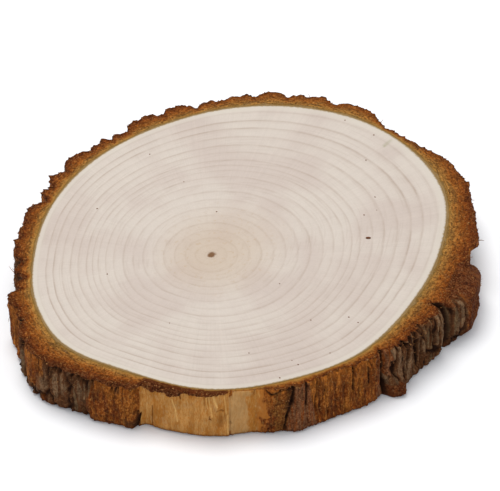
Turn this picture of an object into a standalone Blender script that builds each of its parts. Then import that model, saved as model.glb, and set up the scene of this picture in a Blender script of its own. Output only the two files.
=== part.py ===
"""A round slice sawn across a branch: a pale wood disc held in its own ring of bark.

The slice lies flat on its sawn underside. Units are metres, +Z is up, and the origin is the
middle of the slice's box, on the underside. Bearings are degrees about the wood's middle,
from +X towards +Y; the front of the slice faces -Y.
"""

import math
import random

import bmesh
import bpy
from mathutils import Vector, noise

MM = 0.001

# Driving dimensions of the slice
THICKNESS = 11.5 * MM
GAP = 0.3 * MM
WOOD_SIDES = 180
BARK_SIDES = 360

# Wood: distance in millimetres from its middle to the edge, by bearing
WOOD_EDGE = (
    (0, 41.3), (22, 46.1), (40, 48.5), (58, 49.8), (74, 49.0), (92, 47.0), (112, 44.2),
    (135, 42.4), (160, 41.6), (182, 42.1), (205, 44.8), (221, 46.0), (240, 43.8), (262, 43.6),
    (285, 41.4), (304, 40.5), (322, 39.0), (338, 38.9),
)

# Bark: its depth in millimetres outside the wood, by bearing; two close bearings make a step
BARK_DEPTH = (
    (0, 7.4), (3, 7.6), (9, 6.5), (14, 6.0), (20, 6.1), (28, 5.8), (33.5, 5.4), (37, 4.2), (42, 2.7),
    (48, 1.7), (52, 1.6), (55, 2.8), (58, 4.2), (62, 4.9), (70, 4.9), (82, 5.4), (97, 4.4), (112, 5.5),
    (128, 4.2), (143, 5.2), (158, 4.3), (172, 4.9), (187, 4.3), (203, 5.5), (219, 6.3), (233, 5.0),
    (243.5, 4.2), (245.5, 1.7), (267, 1.7), (268.6, 1.25), (273, 1.3), (280, 2.4), (286, 3.0),
    (289, 2.6), (296, 2.1), (301, 2.4), (310, 3.7), (318, 5.3), (326, 6.2), (334, 7.0), (341, 7.4),
    (350, 7.3), (355, 6.8), (358.5, 6.7),
)

# Fissures down the bark wall: bearing, half width in degrees, depth in millimetres
FRONT_FISSURES = (
    (290.5, 0.7, 0.7), (310.8, 0.8, 1.5), (317.5, 0.6, 0.9), (322.2, 0.8, 1.8),
    (325.0, 0.6, 1.4), (335.2, 0.9, 2.6), (339.0, 0.6, 0.9),
)
HIDDEN_FISSURES_FROM = 67.0
HIDDEN_FISSURES_TO = 236.0
FISSURE_SPACING = (3.5, 12.0)
FISSURE_HALF_WIDTH = (0.8, 1.9)
FISSURE_DEPTH = (0.5, 2.6)
FISSURE_SEED = 11
FISSURE_FOOT_LOSS = 0.7
FISSURE_FOOT_TALL = 2.5 * MM

# Where the wall spreads towards its foot: bearing, half width in degrees, reach in millimetres
FLARES = ((284.5, 2.6, 0.6), (298.0, 9.0, 0.7))
FLARE_TALL = 5.0 * MM

# The swelling at the right front, whose top slopes down from the cut face and which ends
# more steeply towards the right than towards the front
LUMP_BEARING = 347.0
LUMP_HALF_WIDTHS = (8.5, 3.6)
LUMP_REACH = 3.7 * MM
LUMP_HEIGHT = 5.2 * MM
LUMP_TALL = 7.0 * MM
LUMP_CUT_LOSS = 3.0 * MM

# The small nub low on the front wall
NUB_BEARING = 314.2
NUB_HALF_WIDTH = 2.3
NUB_REACH = 2.3 * MM
NUB_HEIGHT = 1.1 * MM
NUB_TALL = 2.8 * MM

# The wall's smooth ups and downs between fissures
RELIEF_HEIGHT = 0.55 * MM
RELIEF_ACROSS = 4.0 * MM
RELIEF_ALONG = 14.0 * MM
SKIN_DEPTH = 1.0 * MM
EDGE_WEAR = 0.35 * MM
WALL_LEVELS = (0.84, 0.64, 0.44, 0.24, 0.07)

WOOD_COLOUR = (0.66, 0.59, 0.52, 1.0)
BARK_COLOUR = (0.22, 0.085, 0.022, 1.0)


def clear_scene():
    """Take every object out of the scene."""
    for obj in list(bpy.data.objects):
        bpy.data.objects.remove(obj, do_unlink=True)


def make_material(name, colour, roughness):
    """A plain matt material of one colour."""
    material = bpy.data.materials.new(name)
    material.use_nodes = True
    shader = material.node_tree.nodes["Principled BSDF"]
    shader.inputs["Base Color"].default_value = colour
    shader.inputs["Roughness"].default_value = roughness
    shader.inputs["Metallic"].default_value = 0.0
    return material


def span_at(points, bearing):
    """The two points on either side of a bearing, their indexes, and the share of the way."""
    bearing %= 360.0
    last = len(points) - 1
    for index, (start, _) in enumerate(points):
        end = points[index + 1][0] if index < last else points[0][0] + 360.0
        if start <= bearing < end:
            return index, (index + 1) % len(points), (bearing - start) / (end - start), end - start
    raise ValueError("the first point of a closed outline lies at bearing 0")


def slope_at(points, index):
    """The outline's slope at one of its points, from the neighbours on both sides."""
    before = points[index - 1]
    after = points[(index + 1) % len(points)]
    return (after[1] - before[1]) / ((after[0] - before[0]) % 360.0)


def smooth_outline(points, bearing):
    """A smooth closed curve through the points, as a Hermite spline."""
    here, there, share, width = span_at(points, bearing)
    square = share * share
    cube = square * share
    return (
        (2.0 * cube - 3.0 * square + 1.0) * points[here][1]
        + (cube - 2.0 * square + share) * width * slope_at(points, here)
        + (3.0 * square - 2.0 * cube) * points[there][1]
        + (cube - square) * width * slope_at(points, there)
    )


def eased_outline(points, bearing):
    """A closed curve that eases from point to point and never overshoots one."""
    here, there, share, _ = span_at(points, bearing)
    eased = share * share * (3.0 - 2.0 * share)
    return points[here][1] + (points[there][1] - points[here][1]) * eased


def fade(distance, reach):
    """1 at no distance, falling smoothly to nothing past the reach."""
    return math.exp(-((distance / reach) ** 2))


def blunt(distance, reach):
    """1 over most of the reach, falling steeply to nothing past it."""
    return math.exp(-((distance / reach) ** 4))


def turn_from(bearing, middle):
    """The shortest turn from a middle bearing to another, with its sign."""
    return (bearing - middle + 180.0) % 360.0 - 180.0


def bell(bearing, middle, half_width):
    """1 at the middle bearing, falling smoothly to nothing past the half width."""
    return fade(turn_from(bearing, middle), half_width)


def hidden_fissures():
    """Fissures for the back and the left, spaced and sized by a seeded draw."""
    draw = random.Random(FISSURE_SEED)
    fissures = []
    bearing = HIDDEN_FISSURES_FROM
    while bearing < HIDDEN_FISSURES_TO:
        fissures.append((bearing, draw.uniform(*FISSURE_HALF_WIDTH), draw.uniform(*FISSURE_DEPTH)))
        bearing += draw.uniform(*FISSURE_SPACING)
    return tuple(fissures)


FISSURES = FRONT_FISSURES + hidden_fissures()


def wood_radius(bearing):
    """From the wood's middle to its edge, in metres."""
    return smooth_outline(WOOD_EDGE, bearing) * MM


def bark_inner_radius(bearing):
    """From the wood's middle to the bark's inner wall, clear of the wood."""
    return wood_radius(bearing) + GAP


def bark_depth(bearing):
    """How far the bark reaches outside the wood, before its relief."""
    return eased_outline(BARK_DEPTH, bearing) * MM


def lump(bearing):
    """How much of the swelling there is at a bearing, from 0 to 1."""
    towards_front, towards_right = LUMP_HALF_WIDTHS
    turned = turn_from(bearing, LUMP_BEARING)
    return fade(turned, towards_front if turned < 0.0 else towards_right)


def fissure_depth(bearing, height):
    """How deep the wall is cut at a place, by the deepest fissure near it, less at the foot."""
    deepest = max(bell(bearing, at, width) * depth * MM for at, width, depth in FISSURES)
    return deepest * (1.0 - FISSURE_FOOT_LOSS * fade(height, FISSURE_FOOT_TALL))


def flare(bearing, height):
    """How far the wall spreads at a height, most at its foot."""
    spread = sum(bell(bearing, at, width) * reach * MM for at, width, reach in FLARES)
    return spread * fade(height, FLARE_TALL)


def wall_relief(bearing, height):
    """The wall's smooth ups and downs, drawn out along the branch."""
    angle = math.radians(bearing)
    radius = wood_radius(bearing)
    place = Vector((
        radius * math.cos(angle) / RELIEF_ACROSS,
        radius * math.sin(angle) / RELIEF_ACROSS,
        height / RELIEF_ALONG,
    ))
    return noise.noise(place) * RELIEF_HEIGHT


def swelling(bearing, height):
    """What the lump and the nub add to the wall at a height."""
    swell = lump(bearing) * fade(height - LUMP_HEIGHT, LUMP_TALL)
    nub = blunt(turn_from(bearing, NUB_BEARING), NUB_HALF_WIDTH) * blunt(height - NUB_HEIGHT, NUB_TALL)
    return LUMP_REACH * swell + NUB_REACH * nub


def bark_outer_radius(bearing, height):
    """From the wood's middle to the bark's outer wall at a height."""
    depth = bark_depth(bearing)
    relief = wall_relief(bearing, height) * min(1.0, depth / (3.0 * RELIEF_HEIGHT + SKIN_DEPTH))
    cut = min(fissure_depth(bearing, height), max(0.0, depth - SKIN_DEPTH - GAP))
    reach = depth + relief - cut + swelling(bearing, height) + flare(bearing, height)
    return wood_radius(bearing) + max(reach, SKIN_DEPTH)


def cut_face_radius(bearing):
    """From the wood's middle to the outer rim of the sawn face of the bark."""
    rim = bark_outer_radius(bearing, THICKNESS) - EDGE_WEAR
    return rim - lump(bearing) * LUMP_CUT_LOSS


def underside_radius(bearing):
    """From the wood's middle to the bark's outer edge on the underside."""
    return bark_outer_radius(bearing, 0.0) - EDGE_WEAR


def bearings(sides):
    """Evenly spaced bearings all the way round."""
    return [360.0 * side / sides for side in range(sides)]


def loop(radius_at, height, sides):
    """Points round the wood's middle at one height, with their radius read by bearing."""
    points = []
    for bearing in bearings(sides):
        angle = math.radians(bearing)
        radius = radius_at(bearing)
        points.append(Vector((radius * math.cos(angle), radius * math.sin(angle), height)))
    return points


def wood_middle():
    """Where the wood's middle stands, so that the slice's box has its middle on the origin."""
    heights = [0.0] + [level * THICKNESS for level in WALL_LEVELS]
    rim = loop(cut_face_radius, THICKNESS, BARK_SIDES)
    for height in heights:
        rim += loop(lambda bearing, z=height: bark_outer_radius(bearing, z), height, BARK_SIDES)
    low = Vector((min(p.x for p in rim), min(p.y for p in rim), 0.0))
    high = Vector((max(p.x for p in rim), max(p.y for p in rim), 0.0))
    return -(low + high) / 2.0


def add_loop(mesh, points):
    """Put one closed loop of points into a mesh."""
    return [mesh.verts.new(point) for point in points]


def join_loops(mesh, first, second):
    """Skin the band between two loops of the same length."""
    count = len(first)
    for index in range(count):
        after = (index + 1) % count
        mesh.faces.new((first[index], first[after], second[after], second[index]))


def finish_piece(name, mesh, material, place, smooth_angle):
    """Turn a mesh into a named object at its place, smooth where it is round."""
    bmesh.ops.recalc_face_normals(mesh, faces=mesh.faces)
    data = bpy.data.meshes.new(name)
    mesh.to_mesh(data)
    mesh.free()
    data.shade_smooth()
    data.set_sharp_from_angle(angle=math.radians(smooth_angle))
    data.materials.append(material)
    piece = bpy.data.objects.new(name, data)
    piece.location = place
    bpy.context.scene.collection.objects.link(piece)
    return piece


def make_wood(place):
    """The sawn disc: its outline as one flat face, extruded to the slice's thickness."""
    mesh = bmesh.new()
    underside = mesh.faces.new(add_loop(mesh, loop(wood_radius, 0.0, WOOD_SIDES)))
    raised = bmesh.ops.extrude_face_region(mesh, geom=[underside], use_keep_orig=True)
    top = [item for item in raised["geom"] if isinstance(item, bmesh.types.BMVert)]
    bmesh.ops.translate(mesh, verts=top, vec=(0.0, 0.0, THICKNESS))
    wood = make_material("pale_wood", WOOD_COLOUR, 0.75)
    return finish_piece("wood", mesh, wood, place, 40.0)


def make_bark(place):
    """The ring of bark, skinned from loops: inner wall, sawn face, outer wall and underside."""
    mesh = bmesh.new()
    inner_low = add_loop(mesh, loop(bark_inner_radius, 0.0, BARK_SIDES))
    inner_high = add_loop(mesh, loop(bark_inner_radius, THICKNESS, BARK_SIDES))
    loops = [inner_low, inner_high, add_loop(mesh, loop(cut_face_radius, THICKNESS, BARK_SIDES))]
    for level in WALL_LEVELS:
        height = level * THICKNESS
        wall = loop(lambda bearing, z=height: bark_outer_radius(bearing, z), height, BARK_SIDES)
        loops.append(add_loop(mesh, wall))
    loops.append(add_loop(mesh, loop(underside_radius, 0.0, BARK_SIDES)))
    loops.append(inner_low)
    for first, second in zip(loops, loops[1:]):
        join_loops(mesh, first, second)
    bark = make_material("brown_bark", BARK_COLOUR, 0.9)
    return finish_piece("bark", mesh, bark, place, 35.0)


def main():
    clear_scene()
    place = wood_middle()
    make_wood(place)
    make_bark(place)


main()
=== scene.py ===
"""The looks of a sawn wood slice: a pale disc with growth rings inside its rough ring of bark.

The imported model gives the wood's outline and the bark's surface. This script lays finer pieces
over them, dresses each in a procedural material, and sets a pale floor, soft light and a camera.
Lengths inside the shaping code are millimetres, and meshes are written in metres.
"""

from __future__ import annotations

import logging
import math
from dataclasses import dataclass, field
from enum import Enum

import bpy
import numpy as np
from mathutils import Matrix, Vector
from mathutils.bvhtree import BVHTree

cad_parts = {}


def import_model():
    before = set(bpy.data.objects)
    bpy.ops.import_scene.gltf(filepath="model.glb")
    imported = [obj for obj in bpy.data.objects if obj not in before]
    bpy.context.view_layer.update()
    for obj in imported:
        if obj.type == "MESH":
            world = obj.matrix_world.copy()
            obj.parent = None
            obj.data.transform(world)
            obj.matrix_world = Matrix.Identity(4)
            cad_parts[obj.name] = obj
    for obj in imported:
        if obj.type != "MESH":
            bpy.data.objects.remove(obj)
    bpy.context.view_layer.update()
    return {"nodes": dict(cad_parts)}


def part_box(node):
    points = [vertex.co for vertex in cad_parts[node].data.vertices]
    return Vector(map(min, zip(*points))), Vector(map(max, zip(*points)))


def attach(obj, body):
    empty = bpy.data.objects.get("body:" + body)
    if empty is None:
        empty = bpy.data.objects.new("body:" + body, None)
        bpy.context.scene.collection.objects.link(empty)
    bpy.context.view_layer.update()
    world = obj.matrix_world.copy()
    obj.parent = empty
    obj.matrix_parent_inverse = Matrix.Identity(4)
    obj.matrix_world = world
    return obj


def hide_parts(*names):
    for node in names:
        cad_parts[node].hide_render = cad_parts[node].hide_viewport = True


MM = 0.001
FULL_TURN = 360.0
SEAM = 1e-6
STUDIO_LIGHT = 1.35

log = logging.getLogger("wood_slice")

Array = np.ndarray
Colour = tuple[float, float, float]
Socket = bpy.types.NodeSocket
Tint = tuple[object, float, float, object, object]
Spot = tuple[Array, Array, Array]


def smooth(share: Array) -> Array:
    """Ease a share from 0 to 1, clipped outside that range.

    Args:
        share: Values to ease.

    Returns:
        The eased values.
    """
    held = np.clip(share, 0.0, 1.0)
    return held * held * (3.0 - 2.0 * held)


def turn_apart(bearing: Array, other: float) -> Array:
    """The shortest turn from one bearing to others, in degrees, with its sign."""
    return (bearing - other + 180.0) % FULL_TURN - 180.0


def stretch(bearing: Array, start: float, end: float, soft: float) -> Array:
    """How far bearings lie inside a stretch of the rim.

    Args:
        bearing: Bearings in degrees.
        start: Where the stretch begins.
        end: Where it ends, going round towards larger bearings.
        soft: Width in degrees over which its two ends fade.

    Returns:
        1 well inside the stretch and 0 well outside it.
    """
    half = ((end - start) % FULL_TURN) / 2.0
    away = np.abs(turn_apart(bearing, start + half))
    return smooth((half - away) / soft + 0.5)


def round_points(bearing: Array, radius: Array) -> tuple[Array, Array]:
    """The x and y of points given by bearing in degrees and radius."""
    angle = np.radians(bearing)
    return radius * np.cos(angle), radius * np.sin(angle)


class Skin(Enum):
    """What the outer wall of the bark shows."""

    PLATES = "plates"
    FLAKED = "flaked"
    FIBROUS = "fibrous"
    CRUSTED = "crusted"
    GRANULAR = "granular"
    TAN = "tan"
    BARE = "bare"


# The skins whose shares the mesh keeps, because plates show wherever no other skin does
PAINTED = tuple(skin for skin in Skin if skin is not Skin.PLATES)

# How deep each kind of unevenness goes on each skin, in millimetres, outwards above zero
ROUGHNESS: dict[Skin, dict[str, float]] = {
    Skin.PLATES: {
        "crack": -0.60, "split": -0.66, "plate": 0.30, "strip": 0.36, "fibre": 0.34, "grit": 0.30,
    },
    Skin.FLAKED: {"split": -0.22, "fibre": 0.20, "grit": 0.22, "lump": 0.12},
    Skin.FIBROUS: {"slit": -0.28, "fibre": 0.24, "grit": 0.24},
    Skin.CRUSTED: {"lump": 0.22, "grit": 0.24, "grain": 0.20},
    Skin.GRANULAR: {"lump": 0.30, "grit": 0.34, "grain": 0.44},
    Skin.TAN: {"fibre": 0.05, "lump": 0.05},
    Skin.BARE: {"fibre": 0.04, "lump": 0.06},
}


class Grain:
    """Smooth random ups and downs in space, the same on every run."""

    def __init__(self, seed: int) -> None:
        """Draw the lattice's directions.

        Args:
            seed: Seed of the draw.
        """
        draw = np.random.default_rng(seed)
        self.order = draw.permutation(256)
        steps = draw.normal(size=(256, 3))
        self.slopes = steps / np.linalg.norm(steps, axis=1, keepdims=True)

    def at(self, x: Array, y: Array, z: Array) -> Array:
        """The value at each place, from about -0.7 to 0.7.

        Args:
            x: Places along the first axis, in lattice steps.
            y: Places along the second axis.
            z: Places along the third axis.

        Returns:
            One value for each place.
        """
        x, y, z = np.broadcast_arrays(x, y, z)
        place = np.stack([x, y, z], axis=-1).astype(float)
        corner = np.floor(place).astype(int)
        inside = place - corner
        ease = inside**3 * (inside * (inside * 6.0 - 15.0) + 10.0)
        total = np.zeros(x.shape)
        for step in np.ndindex(2, 2, 2):
            cell = (corner + step) & 255
            mixed = self.order[(self.order[cell[..., 0]] + cell[..., 1]) & 255]
            slope = self.slopes[self.order[(mixed + cell[..., 2]) & 255]]
            lean = np.sum(slope * (inside - step), axis=-1)
            weight = np.prod(np.where(step, ease, 1.0 - ease), axis=-1)
            total += lean * weight
        return total

    def layered(self, x: Array, y: Array, z: Array, layers: int = 3) -> Array:
        """Several sizes of ups and downs added, each half as large and half as tall.

        Args:
            x: Places along the first axis, in lattice steps.
            y: Places along the second axis.
            z: Places along the third axis.
            layers: How many sizes are added.

        Returns:
            One value for each place.
        """
        total = np.zeros(np.broadcast(x, y, z).shape)
        for layer in range(layers):
            size = 2.0**layer
            total += self.at(x * size + 7.3 * layer, y * size, z * size) / size
        return total


class UprightCells:
    """Tall cells round the bark wall, which become its plates and the cracks between them."""

    def __init__(self, around: float, width: float, height: float, seed: int) -> None:
        """Lay out the cells.

        Args:
            around: Length of the wall all the way round, in millimetres.
            width: Rough width of a cell.
            height: Rough height of a cell.
            seed: Seed of the draw that shifts each cell.
        """
        self.columns = round(around / width)
        self.width = around / self.columns
        self.height = height
        draw = np.random.default_rng(seed)
        self.rows = 8
        self.shift = draw.uniform(-0.42, 0.42, size=(self.columns, self.rows, 2))
        self.number = draw.uniform(0.0, 1.0, size=(self.columns, self.rows))

    def at(self, along: Array, height: Array, flatten: float) -> tuple[Array, Array]:
        """How near each place is to a crack, and the number of the plate that it lies on.

        Args:
            along: Length round the wall, in millimetres.
            height: Height on the wall, in millimetres.
            flatten: How little a length up the wall counts beside one round it.

        Returns:
            The distance to the nearest crack and each plate's own number from 0 to 1.
        """
        column = np.floor(along / self.width).astype(int)
        row = np.floor(height / self.height).astype(int)
        nearest = np.full(along.shape, 1e6)
        second = np.full(along.shape, 1e6)
        number = np.zeros(along.shape)
        for left in (-1, 0, 1):
            for below in (-1, 0, 1):
                near_column = column + left
                near_row = row + below
                cell = (near_column % self.columns, near_row % self.rows)
                shift = self.shift[cell]
                across = (near_column + 0.5 + shift[..., 0]) * self.width - along
                up = ((near_row + 0.5 + shift[..., 1]) * self.height - height) * flatten
                apart = np.hypot(across, up)
                closer = apart < nearest
                second = np.where(closer, nearest, np.minimum(second, apart))
                number = np.where(closer, self.number[cell], number)
                nearest = np.minimum(nearest, apart)
        return second - nearest, number


@dataclass
class SliceShape:
    """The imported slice, read as a wood outline and a bark surface by bearing.

    Args:
        wood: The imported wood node.
        bark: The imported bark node.
        centre_from_middle: From the wood's middle, about which all bearings are taken, to the
            centre of its box.
        samples: How many bearings are read.
        facet: Bearing in degrees over which the wood's flat sides are rounded off.
        bark_facet: The same for the bark.
        levels: How many heights the bark is read at.
        inset: How far inside the two sawn faces the first and the last of them lie.
    """

    wood: bpy.types.Object
    bark: bpy.types.Object
    centre_from_middle: tuple[float, float] = (0.424, 2.253)
    samples: int = 720
    facet: float = 0.9
    bark_facet: float = 0.45
    levels: int = 24
    inset: float = 0.03
    thickness: float = field(init=False)
    middle: tuple[float, float] = field(init=False)
    bearings: Array = field(init=False)
    wood_radii: Array = field(init=False)
    heights: Array = field(init=False)
    bark_radii: Array = field(init=False)

    def __post_init__(self) -> None:
        """Read the outline and cast rays at the bark."""
        low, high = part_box("wood")
        self.thickness = (high.z - low.z) / MM
        self.middle = (
            (low.x + high.x) / 2.0 / MM - self.centre_from_middle[0],
            (low.y + high.y) / 2.0 / MM - self.centre_from_middle[1],
        )
        self.bearings = np.arange(self.samples) * FULL_TURN / self.samples
        self.wood_radii = self.rounded(self.read_outline(), self.facet)
        self.heights = np.linspace(self.inset, self.thickness - self.inset, self.levels)
        self.bark_radii = np.array([
            self.rounded(self.read_bark(height), self.bark_facet) for height in self.heights
        ])

    def read_outline(self) -> Array:
        """Read the wood's outline from its corners.

        Returns:
            The radius at each bearing.
        """
        points = np.array([corner.co for corner in self.wood.data.vertices]) / MM
        points = np.unique(np.round(points[:, :2], 3), axis=0) - self.middle
        bearing = np.degrees(np.arctan2(points[:, 1], points[:, 0])) % FULL_TURN
        radius = np.hypot(points[:, 0], points[:, 1])
        order = np.argsort(bearing)
        return np.interp(self.bearings, bearing[order], radius[order], period=FULL_TURN)

    def read_bark(self, height: float) -> Array:
        """Read the bark's outside at one height, by rays cast inwards.

        Args:
            height: The height.

        Returns:
            The radius at each bearing.
        """
        mesh = self.bark.data
        corners = [corner.co for corner in mesh.vertices]
        tree = BVHTree.FromPolygons(corners, [tuple(face.vertices) for face in mesh.polygons])
        centre = Vector((self.middle[0], self.middle[1], height)) * MM
        reach = max(self.bark.dimensions)
        radii = []
        for angle in np.radians(self.bearings):
            outwards = Vector((math.cos(angle), math.sin(angle), 0.0))
            start = centre + outwards * reach
            distance = tree.ray_cast(start, -outwards)[3]
            radii.append((reach - distance) / MM)
        return np.array(radii)

    def rounded(self, radii: Array, width: float) -> Array:
        """Smooth radii round the rim.

        Args:
            radii: Radii at the bearings that are read.
            width: Width in degrees over which they are smoothed.

        Returns:
            The smoothed radii.
        """
        turns = np.fft.rfftfreq(self.samples, 1.0 / self.samples)
        keep = np.exp(-0.5 * (turns * math.radians(width)) ** 2)
        return np.fft.irfft(np.fft.rfft(radii) * keep, self.samples)

    def wood_radius(self, bearing: Array) -> Array:
        """The wood's radius at any bearings."""
        return np.interp(bearing, self.bearings, self.wood_radii, period=FULL_TURN)

    def bark_profile(self, bearing: Array) -> Array:
        """The bark's outer radius at any bearings.

        Args:
            bearing: The bearings.

        Returns:
            A table of heights by bearings.
        """
        return np.array([
            np.interp(bearing, self.bearings, radii, period=FULL_TURN) for radii in self.bark_radii
        ])


class Graph:
    """A material's node tree, with short ways to add and link its nodes."""

    def __init__(self, name: str) -> None:
        """Start a material that holds one Principled shader.

        Args:
            name: Name of the material.
        """
        self.material = bpy.data.materials.new(name)
        self.material.use_nodes = True
        self.tree = self.material.node_tree
        self.shader = self.tree.nodes["Principled BSDF"]

    def add(self, kind: str, fed: dict[int | str, object] | None = None,
            **values: object) -> bpy.types.Node:
        """Add a node.

        Args:
            kind: Blender's name for the kind of node.
            fed: What its inputs are linked or set to, by their number or name.
            values: Its own properties and what they are set to.

        Returns:
            The node.
        """
        node = self.tree.nodes.new(kind)
        for name, value in values.items():
            setattr(node, name, value)
        for key, value in (fed or {}).items():
            self.feed(node.inputs[key], value)
        return node

    def feed(self, socket: Socket, value: object) -> None:
        """Link a socket to another node's output, or set it to a plain value.

        Args:
            socket: The socket that is fed.
            value: An output, a number, a vector or a colour.
        """
        if isinstance(value, Socket):
            self.tree.links.new(value, socket)
        elif isinstance(value, tuple) and len(value) == 3 and socket.type == "RGBA":
            socket.default_value = (*value, 1.0)
        else:
            socket.default_value = value

    def value(self, name: str) -> Socket:
        """A number kept at the mesh's points."""
        return self.add("ShaderNodeAttribute", attribute_name=name).outputs["Fac"]

    def vector(self, name: str) -> Socket:
        """A vector kept at the mesh's points."""
        return self.add("ShaderNodeAttribute", attribute_name=name).outputs["Vector"]

    def place(self) -> Socket:
        """Object coordinates in millimetres."""
        coordinates = self.add("ShaderNodeTexCoord").outputs["Object"]
        return self.scaled(coordinates, (1.0 / MM,) * 3)

    def scaled(self, vector: object, scale: tuple[float, float, float]) -> Socket:
        """A vector with each of its parts multiplied by its own factor."""
        return self.add("ShaderNodeVectorMath", {0: vector, 1: scale}, operation="MULTIPLY").outputs[0]

    def split(self, vector: object) -> bpy.types.NodeOutputs:
        """The three parts of a vector."""
        return self.add("ShaderNodeSeparateXYZ", {0: vector}).outputs

    def join(self, x: object, y: object, z: object) -> Socket:
        """A vector of three parts."""
        return self.add("ShaderNodeCombineXYZ", {0: x, 1: y, 2: z}).outputs[0]

    def math(self, operation: str, first: object, second: object = 0.0) -> Socket:
        """One step of arithmetic on two numbers, under Blender's name for it."""
        return self.add("ShaderNodeMath", {0: first, 1: second}, operation=operation).outputs[0]

    def times(self, first: object, second: object) -> Socket:
        """Two numbers multiplied."""
        return self.math("MULTIPLY", first, second)

    def plus(self, first: object, second: object) -> Socket:
        """Two numbers added."""
        return self.math("ADD", first, second)

    def minus(self, first: object, second: object) -> Socket:
        """The second number taken from the first."""
        return self.math("SUBTRACT", first, second)

    def between(self, value: object, low: float, high: float) -> Socket:
        """Ease a number from 0 to 1.

        Args:
            value: The number.
            low: Where the result is 0.
            high: Where it is 1, which may lie below low.

        Returns:
            The eased number.
        """
        near, far = (0.0, 1.0) if low < high else (1.0, 0.0)
        fed = {
            "Value": value, "From Min": min(low, high), "From Max": max(low, high),
            "To Min": near, "To Max": far,
        }
        return self.add("ShaderNodeMapRange", fed, interpolation_type="SMOOTHSTEP").outputs["Result"]

    def eased(self, value: object, low: float, high: float, amount: object) -> Socket:
        """A number eased between low and high as in between, times an amount."""
        share = self.between(value, low, high)
        return share if amount == 1.0 else self.times(share, amount)

    def noise(self, vector: object, scale: float, detail: float = 3.0,
              roughness: float = 0.55) -> Socket:
        """Cloudy noise around one half, read at a vector."""
        fed = {"Vector": vector, "Scale": scale, "Detail": detail, "Roughness": roughness}
        return self.add("ShaderNodeTexNoise", fed).outputs["Fac"]

    def drawn_out(self, vector: object, scale: tuple[float, float, float], detail: float = 3.0,
                  roughness: float = 0.6) -> Socket:
        """Cloudy noise with a scale of its own along each part of the vector."""
        return self.noise(self.scaled(vector, scale), 1.0, detail, roughness)

    def cells(self, vector: object, scale: tuple[float, float, float]) -> Socket:
        """A random number from 0 to 1 for each small cell of space, read at a scaled vector."""
        node = self.add("ShaderNodeTexVoronoi", {"Vector": self.scaled(vector, scale), "Scale": 1.0})
        return self.split(node.outputs["Color"])[0]

    def tinted(self, colour: object, *tints: Tint) -> Socket:
        """A colour with others laid over it in turn.

        Args:
            colour: The first colour.
            tints: For each further one the number that places it, where the number's ease starts
                and ends, how much of the colour shows at the end, and the colour.

        Returns:
            The last colour.
        """
        for value, low, high, amount, other in tints:
            colour = self.mix(self.eased(value, low, high, amount), colour, other)
        return colour

    def shaded(self, colour: object, texture: object, depth: float,
               share: object = 1.0) -> Socket:
        """A colour made lighter and darker by a texture.

        Args:
            colour: The colour.
            texture: The texture, around one half.
            depth: How far the brightness swings between the texture's 0 and 1.
            share: How much of the swing shows.

        Returns:
            The shaded colour.
        """
        swing = self.times(self.minus(texture, 0.5), depth)
        swing = self.plus(self.times(swing, share), 1.0)
        return self.mix(1.0, colour, self.grey(swing), "MULTIPLY")

    def mix(self, share: object, first: object, second: object,
            blend: str = "MIX") -> Socket:
        """Two colours mixed by a share, in one of Blender's ways."""
        fed = {"Factor": share, 6: first, 7: second}
        return self.add("ShaderNodeMix", fed, data_type="RGBA", blend_type=blend).outputs[2]

    def ramp(self, value: object, stops: tuple[tuple[float, Colour], ...]) -> Socket:
        """Read a colour from a row of stops.

        Args:
            value: Where it is read, from 0 to 1.
            stops: The place and the colour of each stop.

        Returns:
            The colour.
        """
        node = self.add("ShaderNodeValToRGB", {0: value})
        row = node.color_ramp.elements
        while len(row) < len(stops):
            row.new(1.0)
        for element, (position, colour) in zip(row, stops):
            element.position = position
            element.color = (*colour, 1.0)
        return node.outputs["Color"]

    def grey(self, value: object) -> Socket:
        """A number as an even grey, for multiplying a colour by it."""
        return self.add("ShaderNodeCombineColor", {0: value, 1: value, 2: value}).outputs[0]

    def bump(self, height: object, distance: float, strength: float,
             under: object = None) -> Socket:
        """A bumped normal from a height, over another bump where one is given."""
        fed = {"Height": height, "Distance": distance, "Strength": strength}
        fed |= {} if under is None else {"Normal": under}
        return self.add("ShaderNodeBump", fed).outputs[0]

    def finish(self, colour: object, roughness: float, normal: object,
               gloss: float = 0.25) -> bpy.types.Material:
        """Feed the shader and hand over the material.

        Args:
            colour: Its base colour.
            roughness: Its roughness.
            normal: Its bumped normal.
            gloss: Its specular level.

        Returns:
            The material.
        """
        inputs = self.shader.inputs
        self.feed(inputs["Base Color"], colour)
        self.feed(inputs["Roughness"], roughness)
        self.feed(inputs["Normal"], normal)
        self.feed(inputs["Specular IOR Level"], gloss)
        return self.material


def paint(red: int, green: int, blue: int) -> Colour:
    """A shader colour from the look that it should have under the studio's light.

    Args:
        red: Red in the finished picture, from 0 to 255.
        green: Green in the finished picture.
        blue: Blue in the finished picture.

    Returns:
        The colour that the shader takes.
    """
    return tuple((level / 255.0) ** 2.2 / STUDIO_LIGHT for level in (red, green, blue))


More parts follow.
